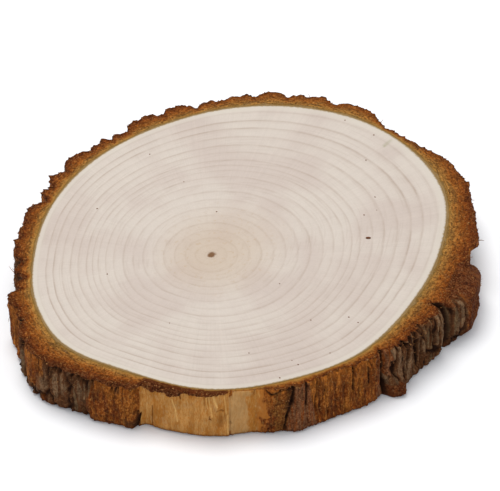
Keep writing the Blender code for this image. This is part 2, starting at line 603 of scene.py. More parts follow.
@dataclass(frozen=True)
class PaleWoodFinish:
    """Dry, finely sawn end grain: cream with thin grey-brown rings and a whiter edge."""

    early: Colour = paint(210, 198, 186)
    pink: Colour = paint(202, 187, 176)
    late: Colour = paint(174, 155, 140)
    edge: Colour = paint(211, 201, 186)
    rim: Colour = paint(172, 146, 104)
    heart: Colour = paint(188, 160, 128)
    pith: Colour = paint(120, 84, 52)
    stain: Colour = paint(162, 156, 128)
    roughness: float = 0.62
    ring_profile: tuple[tuple[float, float], ...] = (
        (0.0, 0.95), (0.05, 0.45), (0.13, 0.0), (0.55, 0.06), (0.82, 0.22), (0.95, 0.75), (1.0, 0.95),
    )

    def ring_lines(self, graph: Graph, place: Socket, spoke: Socket) -> Socket:
        """How dark the late wood is at each place, from the growth rings and finer lines.

        Args:
            graph: The material being built.
            place: Place on the disc in millimetres.
            spoke: Direction from the pith, with the growth as its third part.

        Returns:
            The share of late wood.
        """
        wander = graph.minus(graph.noise(place, 0.30), 0.5)
        rings = graph.plus(graph.value("rings"), graph.times(wander, 0.16))
        fraction = graph.math("FRACT", rings)
        line = graph.ramp(fraction, tuple((at, (level,) * 3) for at, level in self.ring_profile))
        line = graph.times(line, graph.value("ring_strength"))
        worn = graph.eased(graph.drawn_out(spoke, (6.0, 6.0, 14.0), 3.0, 0.55), 0.30, 0.62, 0.6)
        line = graph.times(line, graph.plus(worn, 0.4))
        hair = graph.drawn_out(spoke, (3.0, 3.0, 95.0), 2.0, 0.55)
        return graph.plus(line, graph.eased(hair, 0.52, 0.75, 0.22))

    def material(self) -> bpy.types.Material:
        """Build the material.

        Returns:
            The material.
        """
        graph = Graph("pale_wood")
        place = graph.place()
        spoke = graph.vector("spoke")
        growth = graph.value("growth")
        late = self.ring_lines(graph, place, spoke)
        cloud = graph.noise(place, 0.07, 2.0)
        colour = graph.tinted(self.early, (cloud, 0.38, 0.66, 1.0, self.pink))
        colour = graph.mix(late, colour, self.late)
        rays = graph.drawn_out(spoke, (130.0, 130.0, 2.5), 2.0)
        fine = graph.noise(place, 3.2, 3.0, 0.7)
        mottle = graph.noise(place, 0.9, 3.0, 0.6)
        for texture, depth in ((rays, 0.13), (fine, 0.12), (mottle, 0.08)):
            colour = graph.shaded(colour, texture, depth)
        speckle = graph.between(graph.noise(place, 1.25, 2.0, 0.6), 0.58, 0.72)
        near = graph.eased(growth, 0.46, 0.10, speckle)
        wobble = graph.minus(graph.noise(place, 1.4), 0.5)
        ragged = graph.plus(growth, graph.times(wobble, 0.016))
        colour = graph.tinted(
            colour, (growth, 0.955, 0.985, 0.6, self.edge), (growth, 0.40, 0.03, 0.42, self.heart),
        )
        colour = graph.mix(graph.times(near, 0.4), colour, self.heart)
        colour = graph.tinted(
            colour, (ragged, 0.026, 0.012, 1.0, self.pith), (ragged, 0.992, 1.001, 1.0, self.rim),
        )
        colour = graph.mix(graph.times(graph.value("stain"), 0.8), colour, self.stain)
        normal = graph.bump(fine, 0.00006, 0.5)
        normal = graph.bump(late, 0.00003, 0.4, normal)
        return graph.finish(colour, self.roughness, normal)


@dataclass(frozen=True)
class BarkFinish:
    """Bark: ochre to rust where it is sawn, and grey-brown, rust or golden on its wall."""

    olive: Colour = paint(158, 128, 84)
    moss: Colour = paint(138, 104, 52)
    ochre: Colour = paint(174, 125, 62)
    orange: Colour = paint(156, 92, 36)
    rust: Colour = paint(128, 66, 22)
    umber: Colour = paint(86, 42, 18)
    flank: Colour = paint(87, 54, 32)
    bran: Colour = paint(112, 62, 30)
    black: Colour = paint(46, 26, 14)
    straw: Colour = paint(190, 136, 76)
    dull: Colour = paint(112, 70, 32)
    plate_grey: Colour = paint(116, 90, 66)
    plate_olive: Colour = paint(102, 82, 58)
    plate_red: Colour = paint(120, 80, 54)
    tan_plate: Colour = paint(138, 104, 72)
    golden: Colour = paint(180, 130, 72)
    honey: Colour = paint(156, 102, 44)
    tan: Colour = paint(172, 132, 84)
    pale: Colour = paint(208, 162, 98)
    seam: Colour = paint(104, 60, 22)
    # How much the upright wall's colour is brightened to make up for the light it misses: painted
    # light.
    painted_wall_light: float = 1.25
    roughness: float = 0.85
    gloss: float = 0.08

    def cut_colour(self, graph: Graph, around: Socket, grit: Socket) -> Socket:
        """The colour of the sawn bark, by its depth outside the wood.

        Args:
            graph: The material being built.
            around: Place round the ring, with the depth outside the wood as its third part.
            grit: Noise the size of the bark's grains.

        Returns:
            The colour.
        """
        depth = graph.split(around)[2]
        lines = graph.drawn_out(around, (0.35, 0.35, 2.2))
        drift = graph.times(graph.minus(lines, 0.5), 0.8)
        drift = graph.times(drift, graph.between(depth, 0.0, 1.2))
        level = graph.plus(graph.value("share"), drift)
        colour = graph.ramp(level, (
            (0.0, self.ochre), (0.22, self.ochre), (0.48, self.orange), (0.78, self.rust),
            (1.0, self.umber),
        ))
        inner = graph.tinted(self.olive, (level, 0.04, 0.10, 1.0, self.moss))
        colour = graph.mix(graph.between(level, 0.09, 0.20), inner, colour)
        colour = graph.mix(graph.times(graph.value("torn"), 0.9), colour, self.umber)
        coarse = graph.between(depth, 0.1, 1.4)
        seam = graph.eased(lines, 0.50, 0.40, graph.between(depth, 0.5, 1.6))
        for share, amount, other in (
            (seam, 0.55, self.umber), (graph.value("rim"), 0.50, self.umber),
            (graph.eased(grit, 0.49, 0.40, coarse), 0.75, self.umber),
            (graph.eased(grit, 0.54, 0.63, coarse), 0.45, self.straw),
        ):
            colour = graph.mix(graph.times(share, amount), colour, other)
        mosaic = graph.cells(around, (1.2, 1.2, 2.2))
        return graph.shaded(colour, mosaic, 0.70, coarse)

    def plate_colour(self, graph: Graph, streak: Socket, grit: Socket) -> Socket:
        """The colour of the dry outer plates, rust in their flanks and grey on their crests.

        Args:
            graph: The material being built.
            streak: Noise drawn out up the wall.
            grit: Noise the size of the bark's grains.

        Returns:
            The colour.
        """
        crest = graph.ramp(graph.value("tone"), (
            (0.0, self.plate_olive), (0.30, self.plate_olive), (0.45, self.plate_grey),
            (0.70, self.plate_grey), (0.85, self.plate_red), (1.0, self.plate_red),
        ))
        height = graph.plus(graph.value("crest"), graph.minus(streak, 0.5))
        colour = graph.tinted(self.flank, (height, 0.10, 0.60, 1.0, crest))
        return graph.tinted(
            colour, (grit, 0.49, 0.41, 0.7, self.flank), (grit, 0.54, 0.62, 0.50, self.tan_plate),
        )

    def skin_colours(self, graph: Graph, upright: Socket, grit: Socket,
                     streak: Socket) -> dict[Skin, Socket]:
        """The colour of each skin that isn't plates.

        Args:
            graph: The material being built.
            upright: Place round the ring, with the height as its third part.
            grit: Noise the size of the bark's grains.
            streak: Noise drawn out up the wall.

        Returns:
            The colours by skin.
        """
        fine = graph.drawn_out(upright, (4.6, 4.6, 1.1), 3.0, 0.65)
        broad = graph.drawn_out(upright, (0.5, 0.5, 0.10))
        blotch = graph.drawn_out(upright, (0.8, 0.8, 0.5), 4.0)
        up = graph.plus(graph.split(upright)[2], graph.times(grit, 4.0))
        raw = graph.plus(graph.value("tone"), graph.minus(grit, 0.5))
        dark, pale = (grit, 0.50, 0.42), (grit, 0.53, 0.61)
        return {
            Skin.FIBROUS: graph.tinted(
                self.umber, (streak, 0.38, 0.60, 1.0, self.rust), (broad, 0.45, 0.62, 1.0, self.orange),
                (fine, 0.50, 0.42, 0.60, self.umber), (fine, 0.54, 0.62, 0.30, self.straw),
                (*dark, 0.50, self.umber), (*pale, 0.22, self.straw),
                (up, 8.0, 14.5, 0.50, self.orange),
            ),
            Skin.BARE: graph.tinted(
                self.honey, (broad, 0.36, 0.56, 1.0, self.golden), (blotch, 0.52, 0.64, 0.60, self.tan),
                (streak, 0.52, 0.38, 0.55, self.honey), (fine, 0.49, 0.38, 0.60, self.orange),
                (fine, 0.54, 0.64, 0.45, self.tan), (grit, 0.46, 0.38, 0.35, self.orange),
                (raw, 0.25, 0.85, 0.80, self.orange),
            ),
            Skin.TAN: graph.tinted(
                self.honey, (broad, 0.20, 0.56, 1.0, self.tan), (fine, 0.50, 0.40, 0.35, self.honey),
            ),
            Skin.CRUSTED: graph.tinted(
                self.dull, (broad, 0.46, 0.66, 1.0, self.rust), (*dark, 0.70, self.umber),
                (*pale, 0.30, self.straw),
            ),
            Skin.GRANULAR: graph.tinted(
                self.umber, (broad, 0.40, 0.60, 1.0, self.bran), (*dark, 0.75, self.black),
                (*pale, 0.40, self.tan_plate),
            ),
            Skin.FLAKED: graph.tinted(
                self.rust, (streak, 0.36, 0.56, 1.0, self.plate_red), (*dark, 0.75, self.umber),
                (*pale, 0.45, self.tan_plate),
            ),
        }

    def wall_colour(self, graph: Graph, upright: Socket, grit: Socket) -> Socket:
        """The colour of the outer wall, skin by skin.

        Args:
            graph: The material being built.
            upright: Place round the ring, with the height as its third part.
            grit: Noise the size of the bark's grains.

        Returns:
            The colour.
        """
        streak = graph.drawn_out(upright, (1.9, 1.9, 0.14), 4.0)
        skins = self.skin_colours(graph, upright, grit, streak)
        colour = self.plate_colour(graph, streak, grit)
        for skin in (Skin.TAN, Skin.BARE, Skin.FIBROUS, Skin.FLAKED):
            colour = graph.tinted(colour, (graph.value(skin.value), 0.05, 0.45, 1.0, skins[skin]))
        for skin in (Skin.FIBROUS, Skin.CRUSTED, Skin.GRANULAR):
            share = graph.plus(graph.value(skin.value), graph.minus(grit, 0.5))
            colour = graph.tinted(colour, (share, 0.30, 0.70, 1.0, skins[skin]))
        calm = graph.plus(graph.value(Skin.BARE.value), graph.value(Skin.TAN.value))
        # Strokes are drawn paler above zero and darker below it: painted highlight on ridges and
        # painted shade in grooves, with the lines' own colour.
        stroke_shading_and_colour = graph.value("stroke_shading_and_colour")
        groove = graph.mix(calm, self.black, self.seam)
        # Darker towards the wall's foot: painted contact shade where it meets the floor, together with
        # dirt.
        height = graph.split(upright)[2]
        foot = graph.plus(height, graph.times(streak, 1.6))
        colour = graph.tinted(
            colour, (stroke_shading_and_colour, 0.1, 1.0, calm, self.pale), (stroke_shading_and_colour, -0.1, -1.0, 1.0, groove),
            (foot, 2.0, 0.9, 0.5, self.umber),
        )
        even = graph.plus(calm, graph.value(Skin.GRANULAR.value))
        rough = graph.minus(1.0, graph.times(even, 0.8))
        strands = graph.cells(upright, (2.6, 2.6, 0.95))
        colour = graph.shaded(colour, strands, 0.70, rough)
        # The wall's colour is brightened as a whole: painted light for the light its upright sides
        # miss.
        return graph.scaled(colour, (self.painted_wall_light,) * 3)

    def material(self) -> bpy.types.Material:
        """Build the material.

        Returns:
            The material.
        """
        graph = Graph("rough_bark")
        place = graph.place()
        around = graph.vector("around")
        parts = graph.split(around)
        upright = graph.join(parts[0], parts[1], graph.split(place)[2])
        grit = graph.noise(place, 2.3, 4.0, 0.72)
        colour = graph.mix(
            graph.between(graph.value("cut"), 0.3, 0.7),
            self.wall_colour(graph, upright, grit), self.cut_colour(graph, around, grit),
        )
        # Cracks and pits are painted black: painted shade.
        cavity_shade = graph.value("cavity_shade")
        colour = graph.tinted(colour, (cavity_shade, 0.20, 0.90, 1.0, self.black))
        patch = graph.noise(place, 0.30, 3.0)
        shade = graph.plus(graph.times(patch, 0.5), 0.75)
        colour = graph.mix(1.0, colour, graph.grey(shade), "MULTIPLY")
        fibre = graph.drawn_out(upright, (5.0, 5.0, 0.5))
        calm = graph.plus(graph.value(Skin.BARE.value), graph.value(Skin.TAN.value))
        rough = graph.minus(1.0, graph.times(calm, 0.85))
        normal = graph.bump(graph.times(grit, rough), 0.0006, 0.8)
        normal = graph.bump(fibre, 0.00015, 0.5, normal)
        return graph.finish(colour, self.roughness, normal, self.gloss)


@dataclass(frozen=True)
class FibreFinish:
    """Loose fibres and crumbs of bark, from rust to straw by their own number."""

    straw: Colour = paint(176, 122, 66)
    rust: Colour = paint(92, 46, 20)
    roughness: float = 0.8

    def material(self) -> bpy.types.Material:
        """Build the material.

        Returns:
            The material.
        """
        graph = Graph("loose_bark")
        streak = graph.noise(graph.place(), 2.0, 2.0)
        tone = graph.times(graph.value("tone"), 0.7)
        level = graph.plus(tone, graph.times(streak, 0.3))
        colour = graph.mix(level, self.rust, self.straw)
        return graph.finish(colour, self.roughness, graph.bump(streak, 0.00005, 0.4))


@dataclass(frozen=True)
class FloorFinish:
    """A plain, pale, matt table top."""

    white: Colour = (0.81, 0.81, 0.82)
    grey: Colour = (0.78, 0.78, 0.795)
    roughness: float = 0.9

    def material(self) -> bpy.types.Material:
        """Build the material.

        Returns:
            The material.
        """
        graph = Graph("pale_floor")
        soft = graph.noise(graph.place(), 0.01, 1.0)
        colour = graph.mix(graph.times(soft, 0.5), self.white, self.grey)
        return graph.finish(colour, self.roughness, graph.bump(soft, 0.00001, 0.05))


def new_object(name: str) -> bpy.types.Object:
    """Name the primitive that was just added, and its mesh.

    Args:
        name: The name.

    Returns:
        Its object.
    """
    piece = bpy.context.active_object
    piece.name = name
    piece.data.name = name
    return piece


def mesh_points(piece: bpy.types.Object) -> Array:
    """Read the points of a piece's mesh.

    Args:
        piece: The piece.

    Returns:
        Their places in metres.
    """
    points = np.empty(len(piece.data.vertices) * 3)
    piece.data.vertices.foreach_get("co", points)
    return points.reshape(-1, 3)


def move_points(piece: bpy.types.Object, points: Array) -> None:
    """Put a piece's mesh points at places given in millimetres."""
    piece.data.vertices.foreach_set("co", (points * MM).ravel())
    piece.data.update()


def keep_value(piece: bpy.types.Object, name: str, values: Array) -> None:
    """Keep a number or a vector at each point of a piece's mesh.

    Args:
        piece: The piece.
        name: Name under which its material finds them.
        values: One number or one row of three for each point.
    """
    kind = "FLOAT" if values.ndim == 1 else "FLOAT_VECTOR"
    entry = "value" if values.ndim == 1 else "vector"
    layer = piece.data.attributes.new(name, kind, "POINT")
    layer.data.foreach_set(entry, np.ascontiguousarray(values, dtype=np.float32).ravel())


def close_seams() -> None:
    """Merge the active piece's points that lie on each other and turn all its faces outwards."""
    bpy.ops.object.mode_set(mode="EDIT")
    bpy.ops.mesh.select_all(action="SELECT")
    bpy.ops.mesh.remove_doubles(threshold=SEAM)
    bpy.ops.mesh.normals_make_consistent(inside=False)
    bpy.ops.object.mode_set(mode="OBJECT")


def place_piece(piece: bpy.types.Object, material: bpy.types.Material,
                node: str | None) -> None:
    """Dress a finished piece and say what it belongs to.

    Args:
        piece: The finished object, at the origin.
        material: Its material.
        node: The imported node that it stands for, if it stands for one.
    """
    piece.data.materials.clear()
    piece.data.materials.append(material)
    piece.data.shade_smooth()
    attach(piece, "root")
    if node is not None:
        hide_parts(node)
    log.info("%s: %d faces", piece.name, len(piece.data.polygons))


def rolled_grid(name: str, rows: int, spokes: int) -> tuple[bpy.types.Object, Array, Array]:
    """Add a grid to be rolled round the slice, and number its points.

    Args:
        name: Name of the piece.
        rows: Number of faces along the section.
        spokes: Number of faces round the slice.

    Returns:
        The piece, and for each of its points its row from 0 to rows and its spoke, of which the
        last is the first again.
    """
    bpy.ops.mesh.primitive_grid_add(x_subdivisions=rows, y_subdivisions=spokes, size=2.0)
    piece = new_object(name)
    flat = mesh_points(piece)
    row = np.rint((flat[:, 0] + 1.0) / 2.0 * rows).astype(int)
    spoke = np.rint((flat[:, 1] + 1.0) / 2.0 * spokes).astype(int) % spokes
    return piece, row, spoke


@dataclass
class WoodDisc:
    """The sawn disc, its growth rings laid out from the pith to the bark.

    Args:
        shape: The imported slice.
    """

    shape: SliceShape
    pith_from_middle: tuple[float, float] = (-6.0, -3.0)
    spokes: int = 720
    face_rows: int = 104
    edge_rows: int = 3
    under_rows: int = 24
    face_drop: float = 0.03
    saw_wave: float = 0.018
    grain_seed: int = 5
    ring_marks: tuple[float, ...] = (
        0.030, 0.075, 0.125, 0.180, 0.235, 0.290, 0.345, 0.400, 0.455, 0.510, 0.555, 0.598, 0.632,
        0.666, 0.717, 0.763, 0.816, 0.869, 0.914, 0.967, 1.02,
    )
    ring_strengths: tuple[float, ...] = (
        0.30, 0.30, 0.40, 0.30, 0.45, 0.30, 0.40, 0.30, 0.50, 0.35, 0.45, 0.40, 0.50,
        0.55, 0.45, 0.60, 0.50, 0.80, 0.75, 0.35, 0.20,
    )
    centre_strength: float = 0.3
    stain: tuple[tuple[float, float], tuple[float, float]] = ((30.85, 33.33), (32.44, 35.44))
    stain_width: float = 0.35

    @property
    def pith(self) -> tuple[float, float]:
        """Place the pith.

        Returns:
            Its x and y in the part's frame, in millimetres.
        """
        return (
            self.shape.middle[0] + self.pith_from_middle[0],
            self.shape.middle[1] + self.pith_from_middle[1],
        )

    def edge_from_pith(self, bearing: Array) -> Array:
        """How far the wood's edge lies from the pith at each bearing about the pith.

        Args:
            bearing: Bearings in degrees.

        Returns:
            Distances in millimetres.
        """
        x, y = round_points(self.shape.bearings, self.shape.wood_radii)
        x = x - self.pith_from_middle[0]
        y = y - self.pith_from_middle[1]
        around = np.degrees(np.arctan2(y, x)) % FULL_TURN
        order = np.argsort(around)
        return np.interp(bearing, around[order], np.hypot(x, y)[order], period=FULL_TURN)

    def stained(self, x: Array, y: Array) -> Array:
        """How strongly the short greenish stain shows at each place.

        Args:
            x: Places along the first axis, from the pith.
            y: Places along the second axis.

        Returns:
            1 on the stain, falling smoothly to 0 beside it.
        """
        start, end = (np.array(place) - self.pith_from_middle for place in self.stain)
        run = end - start
        across, up = x - start[0], y - start[1]
        share = np.clip((across * run[0] + up * run[1]) / (run @ run), 0.0, 1.0)
        apart = np.hypot(across - share * run[0], up - share * run[1])
        return np.exp(-((apart / self.stain_width) ** 2)) * (1.0 - 0.5 * share)

    def rings_at(self, growth: Array, edge: Array) -> tuple[Array, Array]:
        """Which growth ring each place lies in, and how strongly its line is drawn.

        Args:
            growth: Share of the way from the pith to the edge.
            edge: Distance from the pith to the edge on the same bearing.

        Returns:
            The count of rings from the pith, and the strength of the nearest ring's line.
        """
        rounder = growth * (1.0 + (edge / edge.mean() - 1.0) * (1.0 - growth))
        marks = (0.0, *self.ring_marks)
        rings = np.interp(rounder, marks, np.arange(len(marks)))
        strengths = np.array((self.centre_strength, *self.ring_strengths))
        return rings, strengths[np.rint(rings).astype(int)]

    def build(self) -> bpy.types.Object:
        """Roll a grid round the pith, from there over the edge to the middle of the underside.

        Returns:
            The disc.
        """
        rows = self.face_rows + self.edge_rows + self.under_rows
        piece, row, spoke = rolled_grid("wood_disc", rows, self.spokes)
        bearing = spoke * FULL_TURN / self.spokes
        growth = np.minimum(row / self.face_rows, np.clip((rows - row) / self.under_rows, 0.0, 1.0))
        edge = self.edge_from_pith(bearing)
        x, y = round_points(bearing, growth * edge)
        rings, strength = self.rings_at(growth, edge)
        rough = Grain(self.grain_seed).layered(x * 0.9, y * 0.9, np.zeros(len(x)))
        sunk = self.face_drop + np.abs(rough) * self.saw_wave
        fall = np.clip((row - self.face_rows) / self.edge_rows, 0.0, 1.0)
        top = self.shape.thickness - sunk
        z = top + (sunk - top) * fall
        move_points(piece, np.column_stack([x + self.pith[0], y + self.pith[1], z]))
        keep_value(piece, "stain", self.stained(x, y) * (row < self.face_rows))
        keep_value(piece, "growth", growth)
        keep_value(piece, "rings", rings)
        keep_value(piece, "ring_strength", strength)
        across, up = round_points(bearing, np.ones(len(x)))
        keep_value(piece, "spoke", np.column_stack([across, up, growth]))
        close_seams()
        return piece

    def dress(self, finish: PaleWoodFinish) -> bpy.types.Object:
        """Build the disc and give it its finish.

        Args:
            finish: Its finish.

        Returns:
            The disc.
        """
        piece = self.build()
        place_piece(piece, finish.material(), "wood")
        return piece


@dataclass(frozen=True)
class Stretch:
    """A stretch of the wall by bearing, and the skin that shows there.

    Args:
        start: Bearing where it begins.
        end: Bearing where it ends, half way up the wall.
        skin: What shows.
        soft: Width in degrees over which its ends fade.
        slant: How many degrees its ends turn on from the foot of the wall to its top.
        tone: Shade of its plates, where it fixes one.
        above: Height from which it shows.
        below: Height up to which it shows.
    """

    start: float
    end: float
    skin: Skin
    soft: float = 1.0
    slant: float = 0.0
    tone: float | None = None
    above: float = -9.0
    below: float = 99.0


@dataclass(frozen=True)
class Stroke:
    """A single ridge or groove on the wall.

    Args:
        start: Bearing and height of its upper end.
        end: Bearing and height of its lower end.
        width: Half its width in millimetres.
        raised: How far it stands out, or lies in where below zero.
        shade: How much painted highlight it gets, or painted shade where below zero, with its own
            colour.
    """

    start: tuple[float, float]
    end: tuple[float, float]
    width: float
    raised: float
    shade: float

    def reach(self, bearing: Array, height: Array, radius: float) -> Array:
        """How near each place lies to the stroke.

        Args:
            bearing: Bearings of the places.
            height: Their heights.
            radius: Radius that turns bearings into lengths.

        Returns:
            1 on the stroke, falling smoothly to 0 beside it.
        """
        scale = math.radians(1.0) * radius
        run = turn_apart(np.array(self.end[0]), self.start[0]) * scale
        rise = self.end[1] - self.start[1]
        along = turn_apart(bearing, self.start[0]) * scale
        up = height - self.start[1]
        share = np.clip((along * run + up * rise) / (run**2 + rise**2), 0.0, 1.0)
        apart = np.hypot(along - share * run, up - share * rise)
        return np.exp(-((apart / self.width) ** 2))


@dataclass
class Patch:
    """Part of the bark's surface, as tables of section rows by spokes."""

    radius: Array
    height: Array
    values: dict[str, Array]

    def joined(self, other: Patch) -> Patch:
        """Put another patch's rows after this one's.

        Args:
            other: The other patch.

        Returns:
            The two as one patch.
        """
        values = {}
        for name, table in self.values.items():
            values[name] = np.vstack([table, other.values[name]])
        return Patch(
            np.vstack([self.radius, other.radius]), np.vstack([self.height, other.height]), values,
        )


@dataclass
class BarkRing:
    """The ring of bark: its sawn faces, its rough wall and the bare stretch at the front.

    Args:
        shape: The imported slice.
    """

    shape: SliceShape
    spokes: int = 1150
    front: tuple[float, float] = (238.0, 358.0)
    front_gain: float = 0.9
    wall_rows: int = 46
    cut_rows: int = 28
    inner_rows: int = 3
    under_rows: int = 7
    tuck: float = 0.15
    rim_wear: float = 0.22
    least_depth: float = 0.6
    golden: tuple[float, float] = (244.9, 267.3)
    golden_soft: float = 0.3
    stretches: tuple[Stretch, ...] = (
        Stretch(*golden, Skin.BARE, golden_soft, tone=0.0),
        Stretch(267.3, 272.4, Skin.TAN, 1.8),
        Stretch(276.0, 278.8, Skin.FIBROUS, 1.8, below=5.2),
        Stretch(272.4, 275.0, Skin.BARE, 2.4, tone=0.3),
        Stretch(275.0, 276.8, Skin.BARE, 1.6, tone=1.0),
        Stretch(276.6, 278.2, Skin.FIBROUS, 1.4),
        Stretch(277.0, 284.5, Skin.FIBROUS, 0.8, above=10.5),
        Stretch(277.0, 282.5, Skin.CRUSTED, 1.0, 2.5),
        Stretch(281.0, 289.0, Skin.FLAKED, 0.7, -2.9),
        Stretch(308.2, 310.5, Skin.FLAKED, 0.6),
        Stretch(288.0, 310.3, Skin.FIBROUS, 1.0),
        Stretch(310.9, 316.4, Skin.GRANULAR, 0.7, below=3.7),
        Stretch(311.3, 313.0, Skin.FLAKED, 0.6, above=4.2),
        Stretch(334.0, 341.2, Skin.GRANULAR, 0.8, above=10.2),
        Stretch(310.3, 334.6, Skin.PLATES, 0.8),
        Stretch(334.6, 338.3, Skin.PLATES, 0.5, 0.0, 0.05),
        Stretch(338.3, 341.4, Skin.PLATES, 0.5, 0.0, 0.62),
        Stretch(341.4, 357.0, Skin.GRANULAR, 1.6),
        Stretch(356.0, 366.0, Skin.FIBROUS, 1.6),
    )
    # A stroke's shade above zero is painted highlight on a ridge and below zero painted shade in a
    # groove, each with the line's own colour.
    strokes: tuple[Stroke, ...] = (
        Stroke((247.8, 5.9), (247.7, 0.1), 0.17, -0.12, -0.9),
        Stroke((246.4, 6.0), (246.4, 2.4), 0.24, 0.06, 0.5),
        Stroke((252.7, 9.0), (253.6, 6.2), 0.16, -0.06, -0.4),
        Stroke((253.1, 9.0), (254.0, 6.2), 0.18, 0.08, 0.9),
        Stroke((254.0, 6.2), (254.4, 3.2), 0.17, 0.08, 0.8),
        Stroke((255.0, 10.9), (255.4, 9.6), 0.22, 0.10, -1.0),
        Stroke((256.7, 4.9), (256.7, 4.6), 0.45, 0.08, 0.35),
        Stroke((256.1, 5.3), (257.2, 5.5), 0.14, -0.06, -0.4),
        Stroke((261.2, 11.2), (261.4, 8.6), 0.16, -0.10, -0.7),
        Stroke((261.7, 11.2), (262.5, 6.0), 0.18, 0.10, 1.0),
        Stroke((262.3, 11.0), (263.2, 5.6), 0.15, 0.06, 0.8),
        Stroke((262.0, 10.4), (262.6, 4.9), 0.13, -0.12, -0.9),
        Stroke((262.5, 4.9), (263.0, 4.7), 0.17, -0.12, -0.9),
        Stroke((263.5, 10.8), (264.5, 8.2), 0.30, 0.12, 0.8),
        Stroke((264.3, 9.9), (264.9, 8.2), 0.14, -0.10, -0.5),
        Stroke((265.3, 5.9), (265.3, 3.6), 0.78, 0.34, -0.55),
        Stroke((264.2, 6.9), (265.1, 7.4), 0.14, -0.10, -0.6),
        Stroke((265.4, 7.4), (266.0, 7.2), 0.18, -0.14, -1.0),
        Stroke((266.4, 6.6), (266.5, 4.4), 0.14, -0.08, -0.5),
        Stroke((266.2, 11.0), (266.7, 6.4), 0.17, 0.08, 0.7),
        Stroke((267.0, 6.0), (267.1, 0.8), 0.18, 0.06, 0.8),
        Stroke((267.6, 11.4), (267.6, 0.2), 0.24, -0.22, -0.35),
        Stroke((276.8, 11.2), (278.1, 10.2), 0.24, -0.30, -1.0),
        Stroke((278.1, 10.2), (280.6, 11.1), 0.22, -0.25, -0.8),
        Stroke((280.6, 11.1), (283.8, 11.2), 0.22, -0.20, -0.7),
        Stroke((283.9, 11.2), (283.2, 7.8), 0.42, -0.60, -1.0),
        Stroke((283.2, 7.8), (281.9, 4.3), 0.36, -0.50, -1.0),
        Stroke((281.9, 4.3), (281.3, 0.5), 0.30, -0.40, -0.9),
        Stroke((282.6, 10.6), (281.9, 6.6), 0.80, -0.20, -0.55),
        Stroke((285.1, 10.9), (284.3, 5.6), 0.24, -0.20, -0.5),
        Stroke((286.2, 10.9), (285.6, 6.4), 0.22, -0.18, -0.5),
        Stroke((287.4, 11.2), (287.1, 6.3), 0.34, -0.60, -1.0),
        Stroke((287.2, 5.9), (287.3, 5.7), 0.26, 0.16, 0.0),
        Stroke((290.8, 9.4), (291.2, 2.0), 0.24, -0.20, -0.4),
        Stroke((295.6, 9.0), (296.0, 1.0), 0.22, -0.25, -0.5),
        Stroke((298.6, 8.2), (298.3, 1.0), 0.20, -0.22, -0.5),
        Stroke((301.1, 11.1), (301.2, 5.4), 0.26, -0.50, -0.9),
        Stroke((301.6, 10.4), (301.8, 6.4), 0.20, 0.12, 0.0),
        Stroke((305.7, 9.8), (305.9, 5.6), 0.28, -0.50, -0.9),
        Stroke((303.3, 7.6), (303.6, 0.8), 0.18, -0.22, -0.4),
        Stroke((307.1, 8.9), (307.8, 4.8), 0.55, 0.20, 0.0),
        Stroke((310.6, 11.2), (311.0, 3.4), 0.46, -0.80, -1.3),
        Stroke((311.0, 3.6), (311.3, 0.4), 0.50, -0.50, -1.1),
        Stroke((316.2, 10.9), (316.2, 7.4), 0.24, -0.50, -1.0),
        Stroke((318.4, 9.4), (318.2, 5.0), 0.20, -0.40, -0.8),
        Stroke((320.6, 11.0), (321.9, 2.2), 0.46, -0.80, -1.3),
        Stroke((324.3, 9.6), (324.8, 2.0), 0.26, -0.40, -1.0),
        Stroke((329.6, 9.6), (329.9, 3.4), 0.22, -0.50, -0.9),
        Stroke((331.4, 8.6), (331.6, 1.8), 0.20, -0.45, -0.8),
        Stroke((335.2, 11.3), (335.6, 1.4), 0.76, -1.20, -2.0),
        Stroke((338.4, 9.4), (338.5, 1.0), 0.28, -0.70, -1.0),
        Stroke((341.2, 8.4), (341.0, 1.4), 0.26, -0.50, -0.8),
    )
    remnant: tuple[tuple[float, float], ...] = (
        (244.9, 0.9), (247.0, 1.2), (249.5, 1.5), (253.2, 1.8), (254.4, 1.3), (256.0, 0.9),
        (258.5, 0.7), (260.3, 0.5), (262.0, 0.35), (265.6, 0.3), (267.2, 0.0),
    )
    remnant_lift: float = 0.2
    lean: float = 1.39
    hollow: tuple[float, float] = (352.0, 359.2)
    hollow_radius: float = 47.3
    hollow_depth: float = 0.95
    swelling: tuple[float, float] = (342.0, 351.9)
    swelling_radius: float = 49.7
    swelling_corner: float = 3.5
    proud: tuple[float, float] = (340.0, 352.5)
    proud_radius: float = 49.3
    most_off: float = 0.6
    crown: tuple[float, float] = (342.0, 353.5)
    crown_depth: float = 4.2
    plain_rim: tuple[float, float] = (336.0, 353.0)
    paler_back: tuple[float, float] = (24.0, 100.0)
    thorny: tuple[float, float] = (10.0, 236.0)
    thorn: float = 2.2
    tooth: float = 0.70
    chip_drop: float = 0.45
    rim_reach: float = 0.45
    foot_reach: float = 0.4
    plate_cells: tuple[float, float, int] = (3.6, 12.0, 21)
    strip_cells: tuple[float, float, int] = (1.20, 11.0, 22)
    grain_seed: int = 23
    mean_radius: float = field(init=False)
    bearings: Array = field(init=False)
    chip: Array = field(init=False)
    section: Patch = field(init=False)

    def __post_init__(self) -> None:
        """Work out the mean radius, the cells and the spokes, which stand closer at the front."""
        self.mean_radius = float(self.shape.bark_radii.mean())
        around = 2.0 * math.pi * self.mean_radius
        self.plates = UprightCells(around, *self.plate_cells)
        self.strips = UprightCells(around, *self.strip_cells)
        self.grain = Grain(self.grain_seed)
        fine = np.linspace(0.0, FULL_TURN, 4 * self.spokes + 1)
        density = 1.0 + self.front_gain * stretch(fine[:-1], *self.front, 12.0)
        count = np.concatenate([[0.0], np.cumsum(density)])
        self.bearings = np.interp(np.arange(self.spokes) / self.spokes, count / count[-1], fine)

